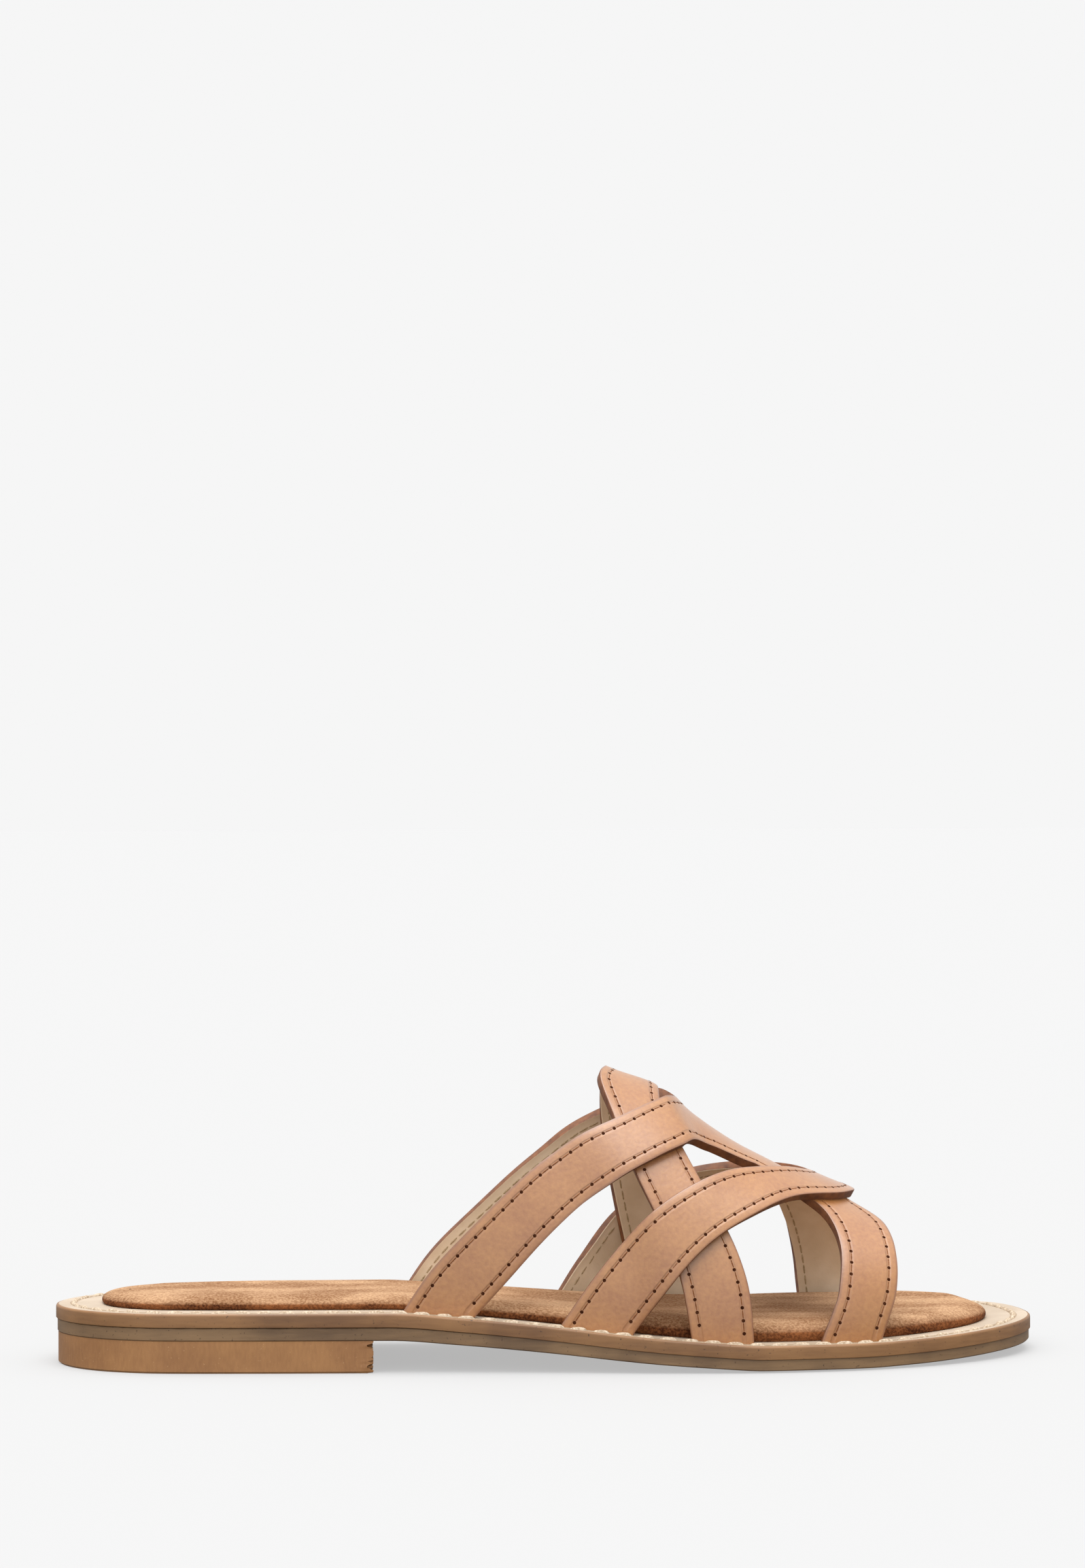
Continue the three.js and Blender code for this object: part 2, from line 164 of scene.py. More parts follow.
def edge_point(at, side):
    half = -lateral_half(outline_angle(at)) if side < 0 else medial_half(outline_angle(at))
    return np.stack([at * SOLE_LENGTH, half], axis=-1)


def inset_edge(at, side, side_margin, end_margin):
    """Points of one side's edge, moved inwards by one margin along the sides and by another at heel and toe."""
    probe = 1e-3
    along = edge_point(np.minimum(at + probe, 1), side) - edge_point(np.maximum(at - probe, 0), side)
    along /= np.linalg.norm(along, axis=-1, keepdims=True)
    inward = np.stack([along[..., 1], -along[..., 0]], axis=-1) * side
    inward[at <= 0] = (1, 0)
    inward[at >= 1] = (-1, 0)
    margin = side_margin + (end_margin - side_margin) * inward[..., :1] ** 2
    return edge_point(at, side) + inward * margin - (SOLE_LENGTH / 2, 0)


def at_of(points):
    return np.clip(points[..., 0] / SOLE_LENGTH + 0.5, 0, 1)


def board_points(steps, levels, columns):
    """Rows of points round a board's section, from its lateral bottom edge up, over the top and back below.
    Each level is a side margin, an end margin and a height, from the underside's rim to the top's rim."""
    sides = {-1: [], 1: []}
    for side in sides:
        for side_margin, end_margin, height in levels:
            edge = inset_edge(steps, side, side_margin, end_margin)
            sides[side].append(np.concatenate([edge, height(at_of(edge))[:, None]], axis=1))
    loop = list(sides[-1])
    for share in np.linspace(0, 1, columns + 1)[1:-1]:
        across = sides[-1][-1] + (sides[1][-1] - sides[-1][-1]) * share
        across[:, 2] = levels[-1][2](at_of(across))
        loop.append(across)
    loop += sides[1][::-1]
    for share in np.linspace(1, 0, columns + 1)[1:-1]:
        across = sides[-1][0] + (sides[1][0] - sides[-1][0]) * share
        across[:, 2] = levels[0][2](at_of(across))
        loop.append(across)
    loop.append(sides[-1][0])
    return np.stack(loop, axis=1)


def grid_piece(name, points, kinds=None):
    """A grid primitive whose corners are moved to the rows and columns of points. kinds has a material's number
    for each column of faces."""
    rows, columns = points.shape[:2]
    bpy.ops.object.select_all(action="DESELECT")
    bpy.ops.mesh.primitive_grid_add(x_subdivisions=columns - 1, y_subdivisions=rows - 1, size=1)
    piece = bpy.context.object
    piece.name = piece.data.name = name
    piece.data.vertices.foreach_set("co", (points * MM).ravel())
    if kinds is not None:
        piece.data.polygons.foreach_set("material_index", np.tile(kinds, rows - 1))
    piece.data.update()
    return piece


def select(*pieces):
    """Selects these objects and no others. The first is the active one."""
    bpy.ops.object.select_all(action="DESELECT")
    for piece in pieces:
        piece.select_set(True)
    bpy.context.view_layer.objects.active = pieces[0]


def merged(piece):
    """Points that fall together are joined and the faces made to point outwards."""
    select(piece)
    bpy.ops.object.mode_set(mode="EDIT")
    bpy.ops.mesh.select_all(action="SELECT")
    bpy.ops.mesh.remove_doubles(threshold=0.01 * MM)
    bpy.ops.mesh.dissolve_degenerate(threshold=0.002 * MM)
    bpy.ops.mesh.normals_make_consistent(inside=False)
    bpy.ops.object.mode_set(mode="OBJECT")
    return piece


def smooth(piece, angle=40):
    select(piece)
    bpy.ops.object.shade_smooth_by_angle(angle=math.radians(angle))
    return piece


def linear(hex_colour):
    """An sRGB hex colour as linear red, green, blue and alpha."""
    parts = [int(hex_colour[i : i + 2], 16) / 255 for i in (1, 3, 5)]
    return [p / 12.92 if p <= 0.04045 else ((p + 0.055) / 1.055) ** 2.4 for p in parts] + [1]


def add(tree, kind, sockets=None, **settings):
    """Adds a node with its settings, and gives each socket a value or a link."""
    made = tree.nodes.new(kind)
    for name, value in settings.items():
        setattr(made, name, value)
    for socket, value in (sockets or {}).items():
        if isinstance(value, bpy.types.NodeSocket):
            tree.links.new(value, made.inputs[socket])
        else:
            made.inputs[socket].default_value = value
    return made


def surface(name, roughness, **constants):
    """A new material and its node tree. Its Principled shader has the given constants on its sockets."""
    material = bpy.data.materials.new(name)
    material.use_nodes = True
    shader = material.node_tree.nodes["Principled BSDF"]
    for socket, value in {"Roughness": roughness, **constants}.items():
        shader.inputs[socket.replace("_", " ")].default_value = value
    return material, material.node_tree


def dressed(material, normal, colour=None):
    """Links a pattern's normal, and its colour if it has one, to the material's shader."""
    tree = material.node_tree
    shader = tree.nodes["Principled BSDF"]
    tree.links.new(normal, shader.inputs["Normal"])
    if colour is not None:
        tree.links.new(colour, shader.inputs["Base Color"])
    return material


def object_place(tree):
    return add(tree, "ShaderNodeTexCoord").outputs["Object"]


def stretched(tree, place, scale):
    return add(tree, "ShaderNodeMapping", {"Vector": place, "Scale": scale}).outputs["Vector"]


def pattern(tree, place, scale, detail, **sockets):
    """Noise with about scale spots to the metre."""
    sockets.update(Vector=place, Scale=scale, Detail=detail)
    return add(tree, "ShaderNodeTexNoise", sockets).outputs["Fac"]


def spread(tree, value, low, high, at_low=0, at_high=1, **settings):
    """A value drawn out, so that low gives at_low and high gives at_high, and cut off beyond them."""
    sockets = {"Value": value, "From Min": low, "From Max": high, "To Min": at_low, "To Max": at_high}
    return add(tree, "ShaderNodeMapRange", sockets, **settings).outputs["Result"]


def reckoned(tree, operation, *values):
    return add(tree, "ShaderNodeMath", dict(enumerate(values)), operation=operation).outputs["Value"]


def layered(tree, fine, weight, coarse, highest):
    """A fine pattern times its weight on a coarse one, with highest as the new 1."""
    return spread(tree, reckoned(tree, "MULTIPLY_ADD", fine, weight, coarse), 0, highest)


# A mix node's two colour inputs and its colour output
MIX_A, MIX_B, MIX_RESULT = 6, 7, 2


def blend(tree, share, first, second):
    """A colour from first to second as share goes from 0 to 1. Each is a hex colour or a socket."""
    ends = [linear(end) if isinstance(end, str) else end for end in (first, second)]
    mixed = add(tree, "ShaderNodeMix", {0: share, MIX_A: ends[0], MIX_B: ends[1]}, data_type="RGBA")
    return mixed.outputs[MIX_RESULT]


def bumped(tree, height, strength, depth, under=None, **settings):
    """The normal of a pattern as deep as depth in millimetres, on top of another normal if one is given."""
    sockets = {"Height": height, "Strength": strength, "Distance": depth * MM}
    if under is not None:
        sockets["Normal"] = under
    return add(tree, "ShaderNodeBump", sockets, **settings).outputs["Normal"]


def undyed_leather_face():
    # Vegetable-tanned leather left undyed: pale beige, faint clouds 15 mm wide and a fine grain, no gloss
    material, tree = surface("undyed_vegetable_tanned_leather", 0.62)
    place = object_place(tree)
    clouds = spread(tree, pattern(tree, place, 65, 4), 0.35, 0.65)
    grain = pattern(tree, place, 1500, 3)
    return dressed(material, bumped(tree, grain, 0.25, 0.1), blend(tree, clouds, "#ad9b86", "#bcab97"))


def channel_painted_shade():
    # The same leather where the stitching wheel pressed it, smooth, its colour darkened as painted shade in the
    # channel
    material, tree = surface("pressed_channel_painted_shade", 0.5, Base_Color=linear("#9c8468"))
    return dressed(material, bumped(tree, pattern(tree, object_place(tree), 900, 3), 0.3, 0.1))


def burnished_edge(name, light, dark, pore):
    # The cut edge of a leather board, stained and rubbed with wax: streaks along the sole, some dark pores
    material, tree = surface(name, 0.45)
    place = object_place(tree)
    streaks = pattern(tree, stretched(tree, place, (0.12, 0.12, 1)), 900, 5)
    clouds = spread(tree, pattern(tree, place, 45, 3), 0.35, 0.65)
    pores = spread(tree, pattern(tree, place, 1300, 2), 0.66, 0.76)
    body = blend(tree, layered(tree, spread(tree, streaks, 0.3, 0.7), 0.5, clouds, 1.5), dark, light)
    return dressed(material, bumped(tree, streaks, 0.35, 0.15), blend(tree, pores, body, pore))


def at_height(base, offset):
    return lambda at: base(at) + offset


sole_steps = (1 - np.cos(np.linspace(0, np.pi, SOLE_ROWS + 1))) / 2
welt_levels = [
    (WELT_FOOT_BEVEL, WELT_FOOT_BEVEL, outsole_top),
    (0, 0, at_height(outsole_top, WELT_FOOT_BEVEL)),
    (0, 0, at_height(welt_top, -WELT_BEVEL)),
]
for inset, drop in ((0.07, 0.4), (0.25, 0.15), (WELT_BEVEL, 0.02)):
    welt_levels.append((inset, inset, at_height(welt_top, -drop)))
for inwards, drop in ((-CHANNEL_HALF, 0), (0, CHANNEL_DEPTH), (CHANNEL_HALF, 0)):
    level = (STITCH_SIDE_MARGIN + inwards, STITCH_END_MARGIN + inwards, at_height(welt_top, -drop))
    welt_levels.append(level)
FACE, EDGE, CHANNEL = 0, 1, 2
side_kinds = 5 * [EDGE] + [FACE] + 2 * [CHANNEL]
flat_kinds = BOARD_COLUMNS * [FACE]
welt_kinds = side_kinds + flat_kinds + side_kinds[::-1] + flat_kinds
welt = merged(grid_piece("welt_board", board_points(sole_steps, welt_levels, BOARD_COLUMNS), welt_kinds))
welt.data.materials.append(undyed_leather_face())
welt.data.materials.append(burnished_edge("burnished_welt_edge", "#956b41", "#6d4a2c", "#452c19"))
welt.data.materials.append(channel_painted_shade())
smooth(welt)
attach(welt, "root")
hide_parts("welt")


# Outsole: a thin flat leather sole, cut just inside the welt board and stained darker than it.
# Its rim curls up a little, so only the ball's middle lies on the ground.
OUTSOLE_INSET = 0.4
RIM_LIFT = 0.5
RIM_WIDTH = 7
OUTSOLE_BEVEL = 0.3
SEAM_CHAMFER = 0.06
SEAM_DEPTH = 0.3
TOP_CLEARANCE = 0.02
SEAM_OPENING = 0.3
SEAM_OPEN_END = 0.5
SEAM_CLOSING = 0.15
SEAM_RIPPLES = (431, 173)


def rim_height(at):
    return underside(at) + RIM_LIFT * (1 - heel_share(at))


def seam_edge(at):
    """The seam under the welt stands open a hair at the heel, unevenly, and closes towards the toe."""
    ripple = 0.6 + 0.4 * np.sin(at * SEAM_RIPPLES[0]) * np.sin(at * SEAM_RIPPLES[1])
    opening = SEAM_OPENING * smooth_step((SEAM_OPEN_END - at) / SEAM_CLOSING) * ripple
    return outsole_top(at) - SEAM_CHAMFER - opening


outsole_levels = [
    (inset, inset, height)
    for inset, height in (
        (RIM_WIDTH, underside),
        (OUTSOLE_INSET + OUTSOLE_BEVEL, rim_height),
        (OUTSOLE_INSET, at_height(rim_height, OUTSOLE_BEVEL)),
        (OUTSOLE_INSET, seam_edge),
        (OUTSOLE_INSET + SEAM_DEPTH, at_height(outsole_top, -TOP_CLEARANCE)),
    )
]
outsole = merged(grid_piece("outsole_board", board_points(sole_steps, outsole_levels, BOARD_COLUMNS)))
outsole.data.materials.append(burnished_edge("stained_outsole_leather", "#917250", "#674f38", "#412e1f"))
smooth(outsole)
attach(outsole, "root")
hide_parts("outsole")


# Heel: one low block of leatherboard, glued under the outsole and sanded to its edge.
# Its front, the breast, is cut straight across and left rough, so its edge is ragged.
HEEL_LENGTH = 82.2
HEEL_INSET = 0.6
HEEL_BEVEL = 0.5
HEEL_LEVELS = 25
BREAST_COLUMNS = 72
BREAST_ROUGHNESS = 6.0
BREAST_DEEPEST = -1.2
BREAST_PROUDEST = 0.5
BREAST_SETBACK = 0.4
BREAST_X = HEEL_LENGTH - SOLE_LENGTH / 2
heel_end = HEEL_LENGTH / SOLE_LENGTH
heel_steps = np.append(sole_steps[sole_steps < heel_end - 0.001], heel_end)


def heel_height(share):
    return lambda at: HEEL_HEIGHT * share + 0 * at


heel_levels = [(HEEL_INSET + HEEL_BEVEL, HEEL_INSET + HEEL_BEVEL, heel_height(0))]
for share in np.linspace(HEEL_BEVEL / HEEL_HEIGHT, 1, HEEL_LEVELS):
    heel_levels.append((HEEL_INSET, HEEL_INSET, heel_height(share)))
heel_points = board_points(heel_steps, heel_levels, BREAST_COLUMNS)
heel_points[-1, :, 0] = BREAST_X
breast_sides = [heel_points[-1, : len(heel_levels)]]
breast_sides.append(heel_points[-1, len(heel_levels) + BREAST_COLUMNS - 1 :][: len(heel_levels)][::-1])
across = np.linspace(0, 1, BREAST_COLUMNS + 1)[None, :, None]
breast_points = breast_sides[0][:, None] + (breast_sides[1] - breast_sides[0])[:, None] * across


def ragged(points):
    """Moves the breast in and out as torn board fibres do, with bumps about 1 mm wide."""
    front = points[..., 0] > BREAST_X - 0.01
    for index in zip(*np.nonzero(front)):
        bump = noise.fractal(Vector(points[index]) * 0.9, 0.7, 2.2, 3)
        moved = min(max(BREAST_ROUGHNESS * bump, BREAST_DEEPEST), BREAST_PROUDEST)
        points[index][0] += moved - BREAST_SETBACK
    return points


heel = grid_piece("heel_block", ragged(heel_points))
breast = grid_piece("heel_breast", ragged(breast_points))
select(heel, breast)
bpy.ops.object.join()
merged(heel)


def sanded_leatherboard():
    # Pressed leather fibre, sanded and waxed: orange brown with fine upright brush marks and pale specks
    material, tree = surface("sanded_leatherboard", 0.5)
    place = object_place(tree)
    marks = pattern(tree, stretched(tree, place, (1, 1, 0.3)), 1400, 4)
    clouds = spread(tree, pattern(tree, place, 60, 3), 0.35, 0.65)
    specks = spread(tree, pattern(tree, place, 1800, 2), 0.68, 0.8)
    share = layered(tree, spread(tree, marks, 0.3, 0.7), 0.5, clouds, 1.6)
    colour = blend(tree, specks, blend(tree, share, "#95673f", "#b58351"), "#c49a6c")
    return dressed(material, bumped(tree, marks, 0.4, 0.15), colour)


heel.data.materials.append(sanded_leatherboard())
smooth(heel)
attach(heel, "root")
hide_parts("heel")


# Straps: tan leather lined with a paler one, 18 mm wide and 2.5 mm thick together, cut edges stained brown.
# They were pulled over a last, a wooden foot, so each lies on the last's surface or on the straps below it.
STRAP_THICKNESS = 2.5
STRAP_SETBACK = 3.6
LAYER_STEP = 2.55
LAST_HEIGHT = 81
RIDGE_OFFSET = 2
WEAVE_FADE = 24
FRONT_FADE = 12
RIDGE_FADE = 7
RIDGE_FRONT_FADE = 10.5
EDGE_SMOOTHING = 0.035
EDGE_DROP = 0.16
EDGE_DROP_WIDTH = 1.8
RIDGE_ZONE = 0.4
REAR_ARCH_TILT = 1.3
STRAP_SINK = 0.008
ARCH_ROWS = 280
ARCH_COLUMNS = 32
EDGE_ROUND = 0.5
SEAM_INSET = 2.6
GROOVE_REACH_SQUARED = 0.5
STAIN_AND_SHADE_START = 0.2
STAIN_AND_SHADE_END = 0.75

# The last's ridge, as a share of its height, and the roundness of its section
ridge = table(
    "at height round",
    (0.33, 1.05, 2),
    (0.46, 1.035, 2),
    (0.515, 0.994, 2),
    (0.561, 0.915, 2),
    (0.61, 0.837, 2),
    (0.637, 0.78, 2.02),
    (0.665, 0.715, 2.05),
    (0.693, 0.658, 2.08),
    (0.721, 0.611, 2.1),
    (0.763, 0.541, 2.2),
    (0.805, 0.484, 2.3),
    (0.859, 0.426, 2.4),
    (0.92, 0.36, 2.4),
)
ridge_height = curve(ridge["at"], ridge["height"])
section_round = curve(ridge["at"], ridge["round"])


def last_point(at, turn):
    """A point of the last. turn runs from -1 at the lateral welt over the ridge, 0, to 1 at the medial welt."""
    base = welt_top(at) + SEAM_GAP
    height = LAST_HEIGHT * ridge_height(at) - base
    angle = (1 - np.minimum(np.abs(turn), 1)) * np.pi / 2
    power = 2 / section_round(at)
    out = np.maximum(np.cos(angle), 0) ** power
    up = np.maximum(np.sin(angle), 0) ** power
    below = np.maximum(np.abs(turn) - 1, 0) * LAST_HEIGHT
    inset = STRAP_SETBACK + STRAP_THICKNESS
    lateral_foot = inset - lateral_half(outline_angle(at))
    medial_foot = medial_half(outline_angle(at)) - inset
    half = (medial_foot - lateral_foot) / 2
    lean = (medial_foot + lateral_foot) / 2 - RIDGE_OFFSET
    y = RIDGE_OFFSET + half * out * np.sign(turn) + lean * out * out
    return np.stack([at * SOLE_LENGTH - SOLE_LENGTH / 2, y, base + height * up - below], axis=-1)


def off_last(at, turn, distance):
    probe = 1e-3
    along = last_point(at + probe, turn) - last_point(at - probe, turn)
    round_it = last_point(at, turn + probe) - last_point(at, turn - probe)
    outward = np.cross(along, round_it)
    outward /= np.linalg.norm(outward, axis=-1, keepdims=True)
    return last_point(at, turn) + outward * distance[..., None]


def drawn_out(values, step, reach):
    """Values at even steps, each averaged with its neighbours within about reach."""
    count = int(3 * reach / step)
    weight = np.exp(-0.5 * (np.arange(-count, count + 1) * step / reach) ** 2)
    before = 2 * values[0] - values[count:0:-1]
    after = 2 * values[-1] - values[-2 : -count - 2 : -1]
    return np.convolve(np.concatenate([before, values, after]), weight / weight.sum(), mode="valid")


def strap_edge(lateral, medial, column, smoothing=EDGE_SMOOTHING):
    """One edge of a strap, as a smooth curve from its lateral rows over the ridge to its medial rows."""
    turn = np.concatenate([lateral["up"] - 1, (1 - medial["up"])[::-1]])
    value = np.concatenate([lateral[column], medial[column][::-1]])
    kept = np.append(True, np.diff(turn) > 1e-9)
    fine = np.linspace(turn[0], turn[-1], 1201)
    smoothed = drawn_out(curve(turn[kept], value[kept])(fine), fine[1] - fine[0], smoothing)
    return lambda turn: np.interp(turn, fine, smoothed)


def cover(rear, front, at, turn):
    """1 where a strap lies below, fading to 0 beyond its edges, slowly behind it and faster before it."""
    low = smooth_step(np.abs(turn) / RIDGE_ZONE)
    behind = np.maximum(rear(turn) - at, 0) * SOLE_LENGTH / (RIDGE_FADE + (WEAVE_FADE - RIDGE_FADE) * low)
    before = np.maximum(at - front(turn), 0) * SOLE_LENGTH
    steep = np.clip(1 - before / RIDGE_FRONT_FADE, 0, 1) ** 2
    gentle = smooth_step(1 - before / FRONT_FADE)
    return smooth_step(1 - behind) * (steep + (gentle - steep) * low)


def shell(sheet):
    """Gives a sheet its thickness, inwards, with the cut edge and the lining as their own materials."""
    bpy.context.view_layer.objects.active = sheet
    wall = sheet.modifiers.new("thickness", "SOLIDIFY")
    wall.thickness = STRAP_THICKNESS * MM
    wall.offset = -1
    wall.material_offset_rim = 1
    wall.material_offset = 2
    bpy.ops.object.modifier_apply(modifier=wall.name)
    edge = sheet.modifiers.new("edge", "BEVEL")
    edge.width = EDGE_ROUND * MM
    edge.segments = 3
    edge.angle_limit = math.radians(50)
    bpy.ops.object.modifier_apply(modifier=edge.name)
    return smooth(sheet, 50)


def mark_edges(sheet, borders):
    """Keeps each point's distance from the strap's cut edge, in millimetres, and rolls the edge over."""
    count = len(sheet.data.vertices)
    points = np.empty(count * 3)
    sheet.data.vertices.foreach_get("co", points)
    points = points.reshape(-1, 3) / MM
    nearest = np.full(count, 1e9)
    for border in borders:
        start, step = border[:-1], np.diff(border, axis=0)
        length = (step**2).sum(1)
        for a, d, l in zip(start, step, length):
            share = np.clip(((points - a) @ d) / max(l, 1e-9), 0, 1)[:, None]
            nearest = np.minimum(nearest, ((points - a - share * d) ** 2).sum(1))
    nearest = np.sqrt(nearest)
    distance = sheet.data.attributes.new("edge_mm", "FLOAT", "POINT")
    distance.data.foreach_set("value", nearest)
    normals = np.empty(count * 3)
    sheet.data.vertices.foreach_get("normal", normals)
    drop = EDGE_DROP * np.clip(1 - nearest / EDGE_DROP_WIDTH, 0, 1) ** 2
    rolled = points - normals.reshape(-1, 3) * drop[:, None]
    sheet.data.vertices.foreach_set("co", (rolled * MM).ravel())
    sheet.data.update()


def tan_strap_leather():
    # Smooth vegetable-tanned calf, lightly waxed: warm tan, faint clouds, a grain about 1 mm wide, soft sheen.
    # The seam lies in a shallow groove, darkened as painted shade; the cut edge's stain runs on to the face,
    # plus painted shade.
    material, tree = surface(
        "tan_vegetable_tanned_calf", 0.42, Specular_IOR_Level=0.7, Coat_Weight=1.0, Coat_Roughness=0.34
    )
    place = object_place(tree)
    clouds = spread(tree, pattern(tree, place, 70, 5), 0.35, 0.65)
    mottle = pattern(tree, place, 900, 3)
    body = blend(tree, layered(tree, spread(tree, mottle, 0.3, 0.7), 1.3, clouds, 2.3), "#995e2c", "#b2793f")
    from_edge = add(tree, "ShaderNodeAttribute", attribute_name="edge_mm").outputs["Fac"]
    # Edge stain and painted shade: the face darkens towards #7d4b2b within 0.75 mm of the cut edge
    stain_and_shade = spread(tree, from_edge, STAIN_AND_SHADE_START, STAIN_AND_SHADE_END, 1, 0)
    rimmed = blend(tree, reckoned(tree, "MULTIPLY", stain_and_shade, 0.7), body, "#7d4b2b")
    from_seam = reckoned(tree, "SUBTRACT", from_edge, SEAM_INSET)
    squared = reckoned(tree, "MULTIPLY", from_seam, from_seam)
    groove_and_shade = spread(tree, squared, 0, GROOVE_REACH_SQUARED, 1, 0, interpolation_type="SMOOTHSTEP")
    # Painted shade: the seam's groove is darkened towards #8d5a36
    colour = blend(tree, reckoned(tree, "MULTIPLY", groove_and_shade, 0.22), rimmed, "#8d5a36")
    fine = bumped(tree, mottle, 0.35, 0.22)
    return dressed(material, bumped(tree, groove_and_shade, 0.8, 0.2, fine, invert=True), colour)


def stained_cut_edge():
    # The straps' cut edges, rubbed with a red brown stain: darker than the face, slightly rough
    material, tree = surface("stained_strap_edge", 0.55)
    patches = pattern(tree, object_place(tree), 500, 4)
    colour = blend(tree, spread(tree, patches, 0.3, 0.7), "#5f3720", "#86532f")
    return dressed(material, bumped(tree, patches, 0.4, 0.15), colour)


def pale_lining():
    # Unfinished lining leather, grey beige and matt, with soft clouds
    material, tree = surface("pale_lining_leather", 0.75)
    place = object_place(tree)
    clouds = spread(tree, pattern(tree, place, 110, 5), 0.3, 0.7)
    grain = pattern(tree, place, 1300, 3)
    return dressed(material, bumped(tree, grain, 0.3, 0.12), blend(tree, clouds, "#cdb799", "#e0cdb3"))


strap_materials = [tan_strap_leather(), stained_cut_edge(), pale_lining()]
seams = []
sheets = {}


def strap_sheet(name, points, borders, open_column=None):
    """An open sheet over the last, with its surface kept for the sewing. A column of faces may be left open."""
    sheet = grid_piece(name, points)
    if open_column is not None:
        columns = points.shape[1] - 1
        bpy.ops.object.mode_set(mode="EDIT")
        bpy.ops.mesh.select_mode(type="FACE")
        bpy.ops.mesh.select_all(action="DESELECT")
        bpy.ops.object.mode_set(mode="OBJECT")
        for face in sheet.data.polygons:
            face.select = face.index % columns == open_column
        bpy.ops.object.mode_set(mode="EDIT")
        bpy.ops.mesh.delete(type="ONLY_FACE")
        bpy.ops.mesh.select_mode(type="VERT")
        bpy.ops.object.mode_set(mode="OBJECT")
    merged(sheet)
    for material in strap_materials:
        sheet.data.materials.append(material)
    if sheet.data.polygons[0].normal.y > 0:
        sheet.data.flip_normals()
    mark_edges(sheet, borders)
    sheets[name] = BVHTree.FromPolygons(
        [vertex.co / MM for vertex in sheet.data.vertices],
        [list(polygon.vertices) for polygon in sheet.data.polygons],
    )
    seams.extend((name, border) for border in borders)
    shell(sheet)
    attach(sheet, "root")
    return sheet


def on_edge(edge, turn, rise):
    return off_last(edge(turn), turn, rise(edge(turn), turn) + STRAP_THICKNESS)


def both_borders(rear, front, rise):
    turn = np.linspace(-1, 1, 400)
    return [on_edge(edge, turn, rise) for edge in (rear, front)]


# Rear arch strap: the lowest one. It crosses the instep from welt to welt and leans back at its top. In its
# tables and the next straps', up runs from 0 at the welt to 1 on the ridge, and rear and front are the edges.
rear_lateral = table(
    "up rear front",
    (0, 0.628, 0.69),
    (0.15, 0.619, 0.687),
    (0.3, 0.6, 0.675),
    (0.45, 0.575, 0.652),
    (0.6, 0.559, 0.628),
    (0.8, 0.545, 0.606),
    (1, 0.555, 0.607),
)
rear_medial = table(
    "up rear front",
    (0, 0.607, 0.669),
    (0.15, 0.592, 0.661),
    (0.3, 0.579, 0.65),
    (0.45, 0.568, 0.638),
    (0.6, 0.56, 0.625),
    (0.8, 0.556, 0.61),
    (1, 0.555, 0.607),
)
rear_arch_rear = strap_edge(rear_lateral, rear_medial, "rear")
rear_arch_front = strap_edge(rear_lateral, rear_medial, "front")


def rear_arch_rise(at, turn):
    """The strap is flatter than the last, so its front edge stands off at the ridge."""
    across = (at - rear_arch_rear(turn)) / (rear_arch_front(turn) - rear_arch_rear(turn))
    near_ridge = smooth_step((RIDGE_ZONE - np.abs(turn)) / RIDGE_ZONE)
    return REAR_ARCH_TILT * near_ridge * smooth_step(across)


def arch_points(rear, front, rise):
    turn = np.linspace(-1 - STRAP_SINK, 1 + STRAP_SINK, ARCH_ROWS + 1)[:, None]
    share = np.linspace(0, 1, ARCH_COLUMNS + 1)[None, :]
    at = rear(turn) + (front(turn) - rear(turn)) * share
    turn = turn + 0 * at
    return off_last(at, turn, rise(at, turn) + STRAP_THICKNESS)


rear_arch_shape = (rear_arch_rear, rear_arch_front, rear_arch_rise)
rear_arch = strap_sheet("rear_arch_strap", arch_points(*rear_arch_shape), both_borders(*rear_arch_shape))
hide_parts("upper")


# Bridge strap: one cut piece with four legs, the rear pair slanting far back and the front pair upright.
# An arched opening on each side parts the legs. It passes over the rear arch.
bridge_lateral = table(
    "up rear front",
    (0, 0.345, 0.818),
    (0.1, 0.372, 0.827),
    (0.2, 0.41, 0.834),
    (0.4, 0.487, 0.838),
    (0.5, 0.526, 0.838),
    (0.6, 0.56, 0.836),
    (0.7, 0.587, 0.832),
    (0.8, 0.608, 0.818),
    (0.9, 0.62, 0.8),
    (1, 0.625, 0.797),
)
bridge_medial = table(
    "up rear front",
    (0, 0.358, 0.838),
    (0.1, 0.385, 0.838),
    (0.2, 0.425, 0.837),
    (0.4, 0.5, 0.831),
    (0.5, 0.532, 0.826),
    (0.6, 0.561, 0.822),
    (0.7, 0.586, 0.817),
    (0.8, 0.606, 0.807),
    (0.9, 0.62, 0.8),
    (1, 0.625, 0.797),
)
window_lateral = table(
    "up rear front",
    (-0.1, 0.38, 0.75),
    (0, 0.416, 0.757),
    (0.1, 0.452, 0.768),
    (0.2, 0.487, 0.776),
    (0.4, 0.559, 0.781),
    (0.5, 0.595, 0.779),
    (0.6, 0.624, 0.773),
    (0.65, 0.634, 0.767),
    (0.7, 0.647, 0.755),
    (0.735, 0.661, 0.743),
    (0.76, 0.676, 0.731),
    (0.785, 0.692, 0.716),
)
window_medial = table(
    "up rear front",
    (-0.1, 0.385, 0.784),
    (0, 0.42, 0.781),
    (0.1, 0.458, 0.778),
    (0.2, 0.495, 0.775),
    (0.4, 0.567, 0.764),
    (0.5, 0.6, 0.756),
    (0.6, 0.631, 0.747),
    (0.65, 0.642, 0.742),
    (0.7, 0.652, 0.736),
    (0.745, 0.662, 0.729),
    (0.785, 0.673, 0.716),
)
WINDOW_TOP = 0.785
WINDOW_SMOOTHING = 0.009
WINDOW_ROUND = 0.06
WINDOW_CLOSING = 0.6
LEG_ROWS = 150
LEG_CROWDING = 1.6
CROWN_ROWS = 90
LEG_COLUMNS = 32
